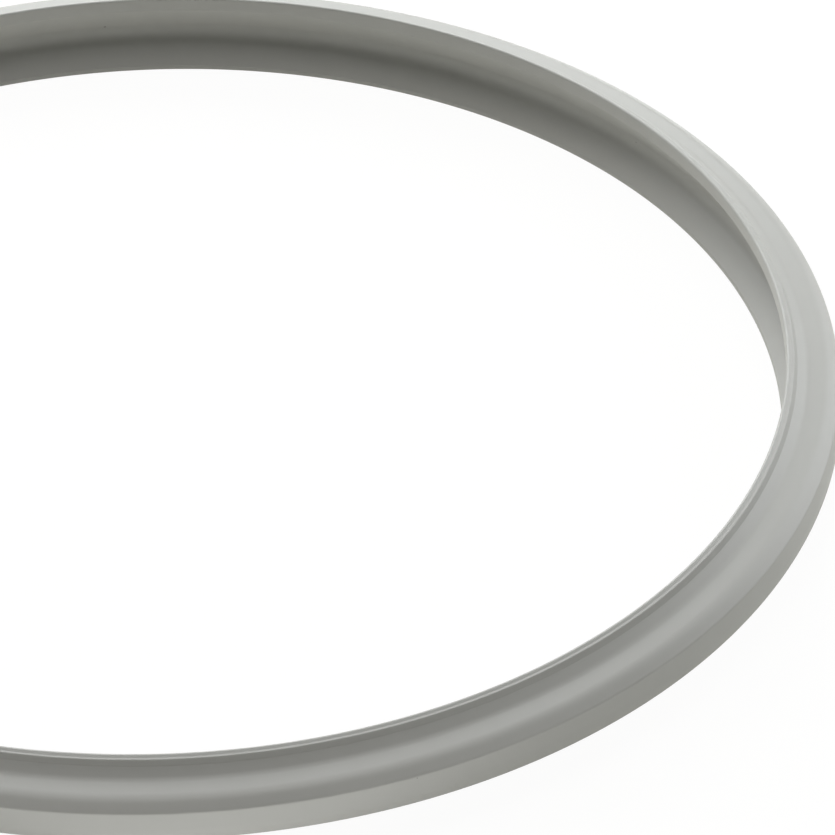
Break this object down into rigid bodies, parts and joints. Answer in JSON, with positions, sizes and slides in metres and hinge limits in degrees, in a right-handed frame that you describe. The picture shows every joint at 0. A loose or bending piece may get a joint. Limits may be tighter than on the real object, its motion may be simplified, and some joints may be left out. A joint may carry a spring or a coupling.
{
  "type": "pressure cooker sealing ring",
  "caption": "One-piece moulded silicone ring with a C-shaped section that opens inwards; it seals a pressure cooker's lid to its pot.",
  "frame": {"origin": "on the ring's axis, level with the foot of the lower lip that the ring stands on", "axes": "+Z is the ring's axis, from the lower lip up to the upper lip, which bears on the lid; X and Y lie across the ring and are alike, because it is fully round"},
  "size_m": [0.24, 0.24, 0.0164],
  "materials": {
    "grey_silicone": "smooth satin moulded silicone, opaque warm grey"
  },
  "bodies": {
    "root": {"sealing_ring": "grey_silicone"}
  },
  "joints": []
}
